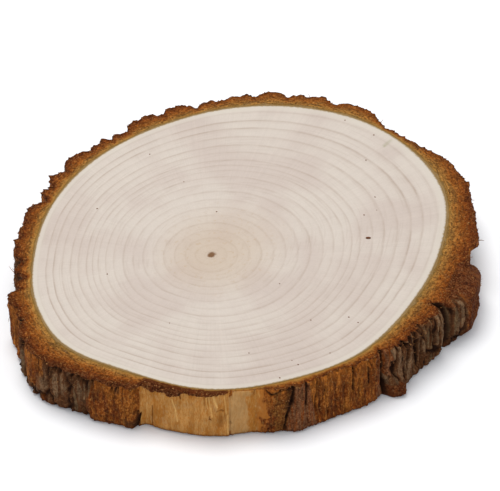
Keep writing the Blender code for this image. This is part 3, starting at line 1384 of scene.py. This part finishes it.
    def rough(self, spot: Spot, width: float, tall: float, shift: tuple[float, float] = (0.0, 0.0),
              layers: int = 3) -> Array:
        """Ups and downs at places on the ring.

        Args:
            spot: The places' x, y and height.
            width: Rough width of the largest ones.
            tall: Their rough height.
            shift: Steps along x and y that keep them apart from others.
            layers: How many sizes of them are added.

        Returns:
            One value for each place.
        """
        x, y, height = spot
        return self.grain.layered(x / width + shift[0], y / width + shift[1], height / tall, layers)

    def skins(self, bearing: Array, height: Array) -> tuple[dict[Skin, Array], Array, Array]:
        """How much of each skin shows at each place on the wall.

        Args:
            bearing: Bearings of the places.
            height: Their heights.

        Returns:
            The share of each skin, the plate tone that a stretch fixes and how firmly it does.
        """
        spot = (*round_points(bearing, self.mean_radius), height)
        ragged = self.rough(spot, 2.2, 2.6) * 1.2
        up = height / self.shape.thickness - 0.5
        shown = {skin: np.zeros(bearing.shape) for skin in Skin}
        left = np.ones(bearing.shape)
        tone = np.zeros(bearing.shape)
        fixed = np.zeros(bearing.shape)
        for part in self.stretches:
            turned = bearing + ragged * part.soft - up * part.slant
            here = np.minimum(stretch(turned, part.start, part.end, part.soft), left)
            here = here * smooth(height - part.above + ragged) * smooth(part.below - height + ragged)
            shown[part.skin] += here
            left = left - here
            if part.tone is not None:
                tone += here * part.tone
                fixed += here
        fibrous = smooth(self.rough(spot, 9.0, 16.0) * 2.6 + 0.30)
        shown[Skin.FIBROUS] += left * fibrous
        shown[Skin.PLATES] += left * (1.0 - fibrous)

        hanging = np.interp(bearing, *np.array(self.remnant).T)
        hanging = hanging * (1.0 + 1.1 * self.rough(spot, 2.4, 5.0, layers=4))
        over = smooth((height - self.shape.thickness + hanging) / 0.25 + 0.5) * (hanging > 0.02)
        for skin in Skin:
            shown[skin] = shown[skin] * (1.0 - over)
        shown[Skin.GRANULAR] += over
        return shown, tone, fixed

    def relief(self, bearing: Array, height: Array, radius: Array) -> dict[str, Array]:
        """The wall's fine relief and what colours it.

        Args:
            bearing: Bearings of the places on the wall.
            height: Their heights in millimetres.
            radius: Their distances from the middle.

        Returns:
            Tables of the relief outwards, of painted shade in cracks and pits, of the strokes'
            painted light and shade with their own colour, of crests and plate tones, and of each
            skin's share.
        """
        spot = (*round_points(bearing, radius), height)
        along = np.radians(bearing) * self.mean_radius
        sway = self.rough(spot, 3.0, 9.0) * 0.8
        lift = self.rough(spot, 2.0, 4.0, (40.0, 0.0)) * 2.2
        gap, tone = self.plates.at(along + sway, height + lift, 0.28)
        slit, strip_tone = self.strips.at(along + sway * 0.4, height + lift, 0.10)
        crack = 1.0 - smooth(gap / 0.50)
        held = smooth(self.rough(spot, 2.5, 5.0, (0.0, 20.0)) * 2.2 + 0.6)
        split = (1.0 - smooth(slit / 0.34)) * held
        slits = split * (strip_tone > 0.62)
        grains = 0.45 - np.abs(self.rough(spot, 1.0, 1.0, (3.0, 0.0), 2))
        kinds = {
            "crack": crack, "split": split, "slit": slits, "plate": tone - 0.6,
            "strip": strip_tone - 0.5, "fibre": self.rough(spot, 0.6, 5.0),
            "grit": self.rough(spot, 0.75, 0.85, (9.0, 0.0)),
            "lump": self.rough(spot, 2.4, 2.2, (0.0, 5.0)), "grain": grains,
        }
        shown, fixed_tone, fixed = self.skins(bearing, height)
        raised = np.zeros(bearing.shape)
        for skin, depths in ROUGHNESS.items():
            raised += sum(depth * kinds[kind] for kind, depth in depths.items()) * shown[skin]
        # The strokes' lightness for the colour: painted highlight and shade, with the lines' own
        # colour.
        stroke_shading_and_colour = np.zeros(bearing.shape)
        for stroke in self.strokes:
            near = stroke.reach(bearing, height, self.mean_radius)
            raised = raised + near * stroke.raised
            stroke_shading_and_colour = stroke_shading_and_colour + near * stroke.shade
        # Cracks, slits and pits are darkened for the colour: painted shade.
        pitted = smooth(-grains * 6.0 + 0.2)
        crack_and_pit_shade = shown[Skin.PLATES] * np.maximum(crack, 0.9 * split) + shown[Skin.FIBROUS] * 0.7 * slits
        crack_and_pit_shade += (shown[Skin.CRUSTED] + shown[Skin.GRANULAR]) * 0.55 * pitted
        return {
            "raised": raised,
            "cavity_shade": np.clip(crack_and_pit_shade, 0.0, 1.0),
            "stroke_shading_and_colour": np.clip(stroke_shading_and_colour, -1.0, 1.0),
            "crest": smooth(np.minimum(slit / 0.9, gap / 1.2)),
            "tone": (0.2 + 0.3 * tone + 0.3 * strip_tone) * (1.0 - fixed) + fixed_tone,
            **{skin.value: shown[skin] for skin in PAINTED},
        }

    def spread_rows(self, bearing: Array) -> tuple[Array, Array]:
        """Lay the wall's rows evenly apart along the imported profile, from its foot to its rim.

        Args:
            bearing: The spokes' bearings.

        Returns:
            Their heights and radii.
        """
        heights = self.shape.heights
        profile = self.shape.bark_profile(bearing)
        steps = np.hypot(np.diff(profile, axis=0), np.diff(heights)[:, None])
        length = np.vstack([np.zeros(len(bearing)), np.cumsum(steps, axis=0)])
        share = np.linspace(0.0, 1.0, self.wall_rows)
        height = np.empty((self.wall_rows, len(bearing)))
        radius = np.empty_like(height)
        for spoke in range(len(bearing)):
            rows = np.interp(share * length[-1, spoke], length[:, spoke], heights)
            radius[:, spoke] = np.interp(rows, heights, profile[:, spoke])
            height[:, spoke] = rows
        height[0] = 0.0
        height[-1] = self.shape.thickness
        return height, radius

    def swollen(self, bearing: Array, height: Array, radius: Array) -> Array:
        """Give the wall its swelling at the right front and the leaning hollow beside it.

        Args:
            bearing: The spokes' bearings.
            height: The wall's heights.
            radius: Its radii so far.

        Returns:
            Its radii.
        """
        below = self.shape.thickness - height
        frayed = self.rough((*round_points(bearing, radius), height), 1.4, 1.4, (0.0, 30.0)) * 1.6
        leaning = bearing - below * self.lean + frayed
        over = np.clip(radius - self.proud_radius, 0.0, self.most_off)
        radius = radius - stretch(bearing, *self.proud, 3.0) * over
        swell = stretch(leaning, *self.swelling, 2.0) * smooth((height - 2.5) / 2.5)
        swell = swell * smooth((below - 1.2) / 2.0)
        end = turn_apart(leaning, self.swelling[1] - self.swelling_corner)
        goal = self.swelling_radius - smooth(end / self.swelling_corner)
        radius = radius + swell * np.maximum(goal - radius, 0.0)
        inside = stretch(leaning, *self.hollow, 1.6)
        return radius - inside * np.maximum(radius - self.hollow_radius, 0.0) * self.hollow_depth

    def wear(self, bearing: Array, height: Array, radius: Array, rough: Array) -> tuple[Array, Array]:
        """Wear the wall's rim and foot, and break them into teeth and thorns.

        Args:
            bearing: The spokes' bearings.
            height: The wall's heights so far.
            radius: Its radii so far.
            rough: How far its skin is a rough one.

        Returns:
            Its heights and its radii.
        """
        x, y = round_points(bearing, self.mean_radius)
        chip = smooth(self.rough((x, y, np.full(len(bearing), 3.3)), 1.5, 1.0) * 1.8 - 0.1)
        depth = radius[-1] - self.shape.wood_radius(bearing)
        self.chip = chip * np.clip(depth / 4.0, 0.15, 1.0)
        top = np.exp(-(((self.shape.thickness - height) / self.rim_reach) ** 2))
        foot = np.exp(-((height / self.foot_reach) ** 2))
        height = height - top * (self.rim_wear * 0.5 + self.chip_drop * self.chip)
        height = height + foot * 0.2 * self.chip
        teeth = self.rough((x, y, height), 1.0, 1.2) * rough * self.tooth
        radius = radius - 0.20 * top - 0.12 * foot + teeth * (top + 0.5 * foot)
        thorns = self.rough((x, y, np.full(len(bearing), 1.7)), 0.8, 1.0, (0.0, 60.0))
        thorns = np.maximum(thorns - 0.15, 0.0) * self.thorn * stretch(bearing, *self.thorny, 10.0)
        return height, radius + thorns * rough * top

    def wall(self, bearing: Array) -> Patch:
        """The rough wall from the foot up to the rim.

        Args:
            bearing: The spokes' bearings.

        Returns:
            The wall.
        """
        height, radius = self.spread_rows(bearing)
        values = self.relief(np.broadcast_to(bearing, height.shape), height, radius)
        remnant = values[Skin.GRANULAR.value] * stretch(bearing, *self.golden, self.golden_soft)
        radius = radius + values.pop("raised") + remnant * self.remnant_lift
        radius = np.maximum(radius, self.shape.wood_radius(bearing) + self.least_depth)
        radius = self.swollen(bearing, height, radius)
        calm = values[Skin.BARE.value] + values[Skin.TAN.value]
        height, radius = self.wear(bearing, height, radius, 1.0 - calm)
        for name in ("cut", "rim", "share", "torn"):
            values[name] = np.zeros_like(radius)
        return Patch(radius, height, values)

    def flat_values(self, like: Array) -> dict[str, Array]:
        """What the flat parts hold where no wall skin shows.

        Args:
            like: A table of the part's size.

        Returns:
            The named tables.
        """
        names = ("cavity_shade", "stroke_shading_and_colour", "crest", "rim", "share", "torn", *(skin.value for skin in PAINTED))
        values = {name: np.zeros_like(like) for name in names}
        values["tone"] = np.full_like(like, 0.5)
        values["cut"] = np.ones_like(like)
        return values

    def cut_face(self, bearing: Array, wall: Patch) -> Patch:
        """The sawn upper face of the bark, from its rim in to the wood.

        Args:
            bearing: The spokes' bearings.
            wall: The wall, whose top row is the rim.

        Returns:
            The sawn face, whose last row lies just under the wood's edge.
        """
        rim = wall.radius[-1]
        wood = self.shape.wood_radius(bearing)
        inner = wood - self.tuck
        share = np.linspace(1.0, 0.0, self.cut_rows + 1)[1:, None]
        radius = inner + (rim - inner) * share
        depth = radius - wood
        from_rim = rim - radius
        spot = (*round_points(np.broadcast_to(bearing, depth.shape), self.mean_radius), depth)
        pits = self.rough(spot, 0.75, 0.6)
        grains = np.abs(self.rough(spot, 1.1, 0.9, (0.0, 8.0), 2))
        strings = self.rough(spot, 2.8, 0.4, (0.0, 3.0))
        rough = smooth(depth / 1.6) * (0.6 + 0.4 * smooth(depth / 4.0))
        drop = 0.045 + rough * (
            0.10 + 0.30 * np.maximum(-pits, 0.0) + 0.20 * np.maximum(-strings, 0.0)
            + 0.30 * np.maximum(0.22 - grains, 0.0)
        )
        drop = drop + np.exp(-((from_rim / 0.5) ** 2)) * (self.rim_wear * 0.35 + 0.35 * self.chip)
        crown = stretch(bearing, *self.crown, 1.5) * smooth((depth - self.crown_depth) / 0.5)
        drop = drop + crown * (0.20 + 0.35 * np.abs(pits) + 0.5 * smooth((depth - 7.0) / 3.0))
        drop = drop + 0.2 * smooth(-depth / self.tuck)
        values = self.flat_values(radius)
        calm = wall.values[Skin.BARE.value][-1] + wall.values[Skin.TAN.value][-1]
        torn = wall.values[Skin.GRANULAR.value][-1] * stretch(bearing, *self.golden, self.golden_soft)
        part = np.clip(depth / (rim - wood), 0.0, 1.0)
        back = stretch(bearing, *self.paler_back, 20.0)
        unmarked = stretch(bearing, *self.plain_rim, 6.0) + 0.5 * back
        values["share"] = part * (1.0 - 0.30 * back) * (1.0 - 0.5 * calm)
        values["torn"] = torn * smooth((part - 0.14) / 0.14)
        values[Skin.GRANULAR.value] = crown
        values["cut"] = 1.0 - crown
        values["rim"] = np.exp(-((from_rim / 0.7) ** 2)) * (1.0 - calm) * (1.0 - unmarked)
        # The sawn face's pits are darkened for the colour: painted shade.
        pit_shade = smooth(1.0 - grains / 0.10) * 0.45 + smooth(-pits * 3.0 - 0.6) * 0.4
        values["cavity_shade"] = pit_shade * rough
        return Patch(radius, self.shape.thickness - drop, values)

    def hidden(self, bearing: Array, foot: Array) -> Patch:
        """The wall against the wood and the sawn underside, which close the ring.

        Args:
            bearing: The spokes' bearings.
            foot: Radius of the wall's lowest row.

        Returns:
            The rows from under the wood's edge round to the foot.
        """
        inner = self.shape.wood_radius(bearing) - self.tuck
        fall = np.linspace(1.0, 0.0, self.inner_rows + 2)[1:-1, None]
        down = np.broadcast_to(inner, (self.inner_rows, len(bearing)))
        out = np.linspace(0.0, 1.0, self.under_rows + 1)[:-1, None]
        under = inner + (foot - inner) * out
        spot = (*round_points(bearing, under), np.zeros_like(under))
        lifted = 0.04 + 0.08 * np.abs(self.rough(spot, 0.9, 1.0))
        radius = np.vstack([down, under])
        height = np.vstack([np.broadcast_to(self.shape.thickness * fall, down.shape), lifted])
        return Patch(radius, height, self.flat_values(radius))

    def build(self) -> bpy.types.Object:
        """Roll a grid round the slice, its rows along the section and its spokes round the ring.

        Returns:
            The ring.
        """
        bearing = self.bearings
        wall = self.wall(bearing)
        top = self.cut_face(bearing, wall)
        section = wall.joined(top).joined(self.hidden(bearing, wall.radius[0]))
        self.section = section
        rows = len(section.radius)
        piece, row, spoke = rolled_grid("bark_ring", rows, self.spokes)
        row = row % rows
        radius = section.radius[row, spoke]
        x, y = round_points(bearing[spoke], radius)
        move_points(piece, np.column_stack([
            x + self.shape.middle[0], y + self.shape.middle[1], section.height[row, spoke],
        ]))
        for name, table in section.values.items():
            keep_value(piece, name, table[row, spoke])
        x, y = round_points(bearing[spoke], self.mean_radius)
        depth = radius - self.shape.wood_radius(bearing[spoke])
        keep_value(piece, "around", np.column_stack([x, y, depth]))
        close_seams()
        return piece

    def dress(self, finish: BarkFinish) -> bpy.types.Object:
        """Build the ring and give it its finish.

        Args:
            finish: Its finish.

        Returns:
            The ring.
        """
        piece = self.build()
        place_piece(piece, finish.material(), "bark")
        return piece


@dataclass
class Scatter:
    """Many copies of one small shape, gathered into one piece.

    Args:
        name: Name of the piece.
        points: Points of the shape, in its own lengths.
        faces: Its faces, as rows of point numbers.
    """

    name: str
    points: Array
    faces: list[tuple[int, ...]]
    placed: list[Array] = field(default_factory=list)
    tones: list[float] = field(default_factory=list)

    def put(self, points: Array, tone: float) -> None:
        """Add one copy.

        Args:
            points: Where the shape's points come to lie, in millimetres.
            tone: The copy's shade, from 0 to 1.
        """
        self.placed.append(points)
        self.tones.append(tone)

    def gather(self) -> bpy.types.Object:
        """Make the piece of all the copies.

        Returns:
            The piece.
        """
        count = len(self.points)
        faces = [
            tuple(number + copy * count for number in face)
            for copy in range(len(self.placed)) for face in self.faces
        ]
        mesh = bpy.data.meshes.new(self.name)
        mesh.from_pydata((np.vstack(self.placed) * MM).tolist(), [], faces)
        mesh.update()
        piece = bpy.data.objects.new(self.name, mesh)
        bpy.context.scene.collection.objects.link(piece)
        keep_value(piece, "tone", np.repeat(self.tones, count))
        return piece


@dataclass
class LooseBark:
    """Loose fibres along the rough bark, crumbs on it, and a few specks of bark on the wood.

    Args:
        shape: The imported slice.
        ring: The bark that they lie on.
    """

    shape: SliceShape
    ring: BarkRing
    fibres: int = 520
    crumbs: int = 420
    joints: int = 5
    headroom: float = 0.22
    speck_places: tuple[tuple[float, float], ...] = (
        (28.8, 37.2), (22.7, 42.5), (26.8, 28.4), (28.3, 15.9), (28.5, 11.5), (25.8, 9.9),
        (21.7, -22.2), (23.5, -23.8), (14.1, -23.1), (17.7, -32.8), (1.8, -32.8), (10.2, -35.0),
        (11.4, -36.2), (7.8, -40.0), (-12.0, 21.0), (-27.0, -9.0), (-19.5, 30.5), (-5.0, 11.0),
        (-30.0, 12.0), (8.0, -12.0), (-14.0, -24.0),
    )
    speck_size: tuple[float, float, float] = (0.15, 0.12, 0.07)
    chip_place: tuple[float, float] = (26.4, 2.4)
    chip_size: tuple[float, float, float] = (0.62, 0.34, 0.16)
    long_fibres: tuple[tuple[float, float], ...] = ((54.0, 1.5), (2.9, 1.3))
    root_depth: float = 0.12
    seed: int = 31

    def __post_init__(self) -> None:
        """Seed the draw that places everything."""
        self.draw = np.random.default_rng(self.seed)

    def surface(self, row: int, spoke: int) -> tuple[Array, Array]:
        """Find a place on the bark.

        Args:
            row: Its row of the ring's section.
            spoke: Its spoke.

        Returns:
            The place, and the direction straight out from the middle there.
        """
        angle = math.radians(self.ring.bearings[spoke])
        outwards = np.array([math.cos(angle), math.sin(angle), 0.0])
        place = outwards * self.ring.section.radius[row, spoke]
        place = place + [*self.shape.middle, self.ring.section.height[row, spoke]]
        return place, outwards

    def some_place(self) -> tuple[Array, Array, bool]:
        """Draw a rough place, mostly near the rim.

        Returns:
            The place, the way out from it, and whether it lies on the sawn face.
        """
        values = self.ring.section.values
        rim = self.ring.wall_rows
        while True:
            row = int(self.draw.triangular(rim * 0.35, rim, rim + self.ring.cut_rows // 2))
            spoke = int(self.draw.integers(self.ring.spokes))
            if values[Skin.BARE.value][row, spoke] + values[Skin.TAN.value][row, spoke] < 0.3:
                place, outwards = self.surface(row, spoke)
                return place, outwards, row >= rim

    def fibre(self, root: Array, lean: Array, length: float, radius: float) -> Array:
        """The points of one bent, tapered fibre.

        Args:
            root: Where it grows out of the bark.
            lean: Which way it points.
            length: Its length.
            radius: Its radius at the root.

        Returns:
            Its points, section by section, and its tip.
        """
        lean = lean / np.linalg.norm(lean)
        side = np.cross(lean, self.draw.normal(size=3))
        side = side / np.linalg.norm(side)
        across = np.cross(lean, side)
        bend = side * self.draw.uniform(0.1, 0.6) + across * self.draw.normal() * 0.2
        points = []
        for joint in range(self.joints):
            share = joint / self.joints
            centre = root + lean * (length * share - self.root_depth) + bend * length * share**2
            width = radius * (1.0 - 0.65 * share)
            for corner in range(4):
                angle = math.pi / 2.0 * corner
                points.append(centre + (side * math.cos(angle) + across * math.sin(angle)) * width)
        points.append(root + lean * (length - self.root_depth) + bend * length)
        held = np.array(points)
        held[:, 2] = np.clip(held[:, 2], 0.03, self.shape.thickness + self.headroom)
        return held

    def fibre_faces(self) -> list[tuple[int, ...]]:
        """Number the faces of a fibre: its root, its sides and its tip.

        Returns:
            Each face as a row of point numbers.
        """
        faces = [(3, 2, 1, 0)]
        for joint in range(self.joints - 1):
            for corner in range(4):
                here = joint * 4 + corner
                beside = joint * 4 + (corner + 1) % 4
                faces.append((here, beside, beside + 4, here + 4))
        last = (self.joints - 1) * 4
        faces.extend((last + corner, last + (corner + 1) % 4, last + 4) for corner in range(4))
        return faces

    def build_fibres(self) -> bpy.types.Object:
        """Scatter fibres over the rough bark, mostly along its rim.

        Returns:
            The piece of fibres.
        """
        shape = Scatter("loose_fibres", np.zeros((self.joints * 4 + 1, 3)), self.fibre_faces())
        for _ in range(self.fibres):
            root, outwards, sawn = self.some_place()
            tangent = np.array([-outwards[1], outwards[0], 0.0])
            lean = tangent * self.draw.normal() * 0.8
            if sawn:
                out = self.draw.normal() * 0.6
                up = self.draw.uniform(0.1, 0.6)
            else:
                out = self.draw.uniform(0.2, 1.0)
                up = self.draw.normal() * 0.7
            lean = lean + outwards * out + [0.0, 0.0, up]
            length = float(np.clip(self.draw.lognormal(-0.35, 0.45), 0.3, 2.0))
            points = self.fibre(root, lean, length, self.draw.uniform(0.035, 0.075))
            shape.put(points, self.draw.uniform())
        for bearing, length in self.long_fibres:
            spoke = int(np.searchsorted(self.ring.bearings, bearing))
            root, outwards = self.surface(self.ring.wall_rows - 3, spoke)
            lean = outwards + [0.0, 0.0, 0.15]
            shape.put(self.fibre(root, lean, length, 0.11), 0.15)
        return shape.gather()

    def crumb(self, template: Array, place: Array, size: Array) -> Array:
        """The points of one lumpy crumb, turned at random.

        Args:
            template: Points of a small round shape of radius 1.
            place: Where its middle comes to lie.
            size: Its half sizes along, across and up.

        Returns:
            Its points.
        """
        lumpy = template * self.draw.uniform(0.7, 1.15, size=(len(template), 1)) * size
        turn = self.draw.uniform(0.0, 2.0 * math.pi)
        spin = np.array([[math.cos(turn), -math.sin(turn)], [math.sin(turn), math.cos(turn)]])
        lumpy[:, :2] = lumpy[:, :2] @ spin.T
        return lumpy + place

    def build_crumbs(self) -> bpy.types.Object:
        """Scatter crumbs over the rough bark, and lay specks and one chip on the wood.

        Returns:
            The piece of crumbs.
        """
        bpy.ops.object.select_all(action="DESELECT")
        bpy.ops.mesh.primitive_ico_sphere_add(subdivisions=1, radius=1.0)
        pattern = new_object("crumb_pattern")
        template = mesh_points(pattern)
        faces = [tuple(face.vertices) for face in pattern.data.polygons]
        bpy.data.objects.remove(pattern)
        shape = Scatter("bark_crumbs", template, faces)
        for _ in range(self.crumbs):
            place, _, _ = self.some_place()
            size = self.draw.uniform(0.08, 0.24) * self.draw.uniform(0.6, 1.3, size=3)
            place[2] = min(place[2], self.shape.thickness + self.headroom - size[2] * 1.2)
            shape.put(self.crumb(template, place, size), self.draw.uniform(0.0, 0.9))
        face = np.array([*self.shape.middle, self.shape.thickness])
        for place in self.speck_places:
            size = np.array(self.speck_size) * self.draw.uniform(0.8, 1.4)
            shape.put(self.crumb(template, face + [*place, 0.0], size), 0.1)
        shape.put(template * self.chip_size + face + [*self.chip_place, 0.06], 0.0)
        return shape.gather()

    def dress(self, finish: FibreFinish) -> None:
        """Build the fibres and the crumbs and give them their finish.

        Args:
            finish: Their finish.
        """
        material = finish.material()
        place_piece(self.build_fibres(), material, None)
        place_piece(self.build_crumbs(), material, None)


@dataclass
class Studio:
    """The plain pale floor, the soft light and the camera, in metres and watts.

    Args:
        shape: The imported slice.
    """

    shape: SliceShape
    floor_size: float = 4.0
    elevation: float = 40.0
    distance: float = 0.55
    lens: float = 192.5
    aim_aside: float = 2.0
    key_power: float = 5.3
    key_place: tuple[float, float, float] = (-0.13, 0.14, 0.86)
    key_size: float = 0.5
    key_colour: Colour = (1.0, 0.985, 0.96)
    sky_strength: float = 0.90
    sky_colour: Colour = (0.95, 0.97, 1.0)
    floor_drop: float = 0.0001

    def floor(self) -> None:
        """Lay the floor under the slice."""
        bpy.ops.mesh.primitive_plane_add(size=self.floor_size, location=(0.0, 0.0, -self.floor_drop))
        floor = new_object("floor")
        floor.data.materials.append(FloorFinish().material())

    def light(self) -> None:
        """One broad lamp high over the back left, and a bright even sky."""
        lamp_data = bpy.data.lights.new("key", "AREA")
        lamp_data.shape = "DISK"
        lamp_data.size = self.key_size
        lamp_data.energy = self.key_power
        lamp_data.color = self.key_colour
        lamp = bpy.data.objects.new("key", lamp_data)
        lamp.location = self.key_place
        lamp.rotation_euler = (-lamp.location).to_track_quat("-Z", "Y").to_euler()
        bpy.context.scene.collection.objects.link(lamp)
        world = bpy.data.worlds.new("sky")
        world.use_nodes = True
        sky = world.node_tree.nodes["Background"]
        sky.inputs["Color"].default_value = (*self.sky_colour, 1.0)
        sky.inputs["Strength"].default_value = self.sky_strength
        bpy.context.scene.world = world

    def camera(self) -> None:
        """Set the camera where the photograph was taken from."""
        across, along = self.shape.middle
        aim = Vector((across + self.aim_aside, along, self.shape.thickness)) * MM
        tilt = math.radians(self.elevation)
        back = Vector((0.0, -math.cos(tilt), math.sin(tilt)))
        data = bpy.data.cameras.new("camera")
        data.lens = self.lens
        data.clip_start = 0.01
        camera = bpy.data.objects.new("camera", data)
        camera.location = aim + back * self.distance
        camera.rotation_euler = (-back).to_track_quat("-Z", "Y").to_euler()
        bpy.context.scene.collection.objects.link(camera)
        bpy.context.scene.camera = camera

    def set_up(self) -> None:
        """Lay the floor, light it and place the camera."""
        self.floor()
        self.light()
        self.camera()
        bpy.context.scene.view_settings.view_transform = "Standard"


def main() -> None:
    """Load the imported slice, dress it, and set the stage."""
    logging.basicConfig(level=logging.INFO, format="%(relativeCreated)6.0f ms  %(message)s")
    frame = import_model()
    bpy.ops.object.select_all(action="DESELECT")
    log.info("packed slice loaded")
    shape = SliceShape(frame["nodes"]["wood"], frame["nodes"]["bark"])
    log.info("packed slice read")
    WoodDisc(shape).dress(PaleWoodFinish())
    ring = BarkRing(shape)
    ring.dress(BarkFinish())
    LooseBark(shape, ring).dress(FibreFinish())
    Studio(shape).set_up()


if __name__ == "__main__":
    main()
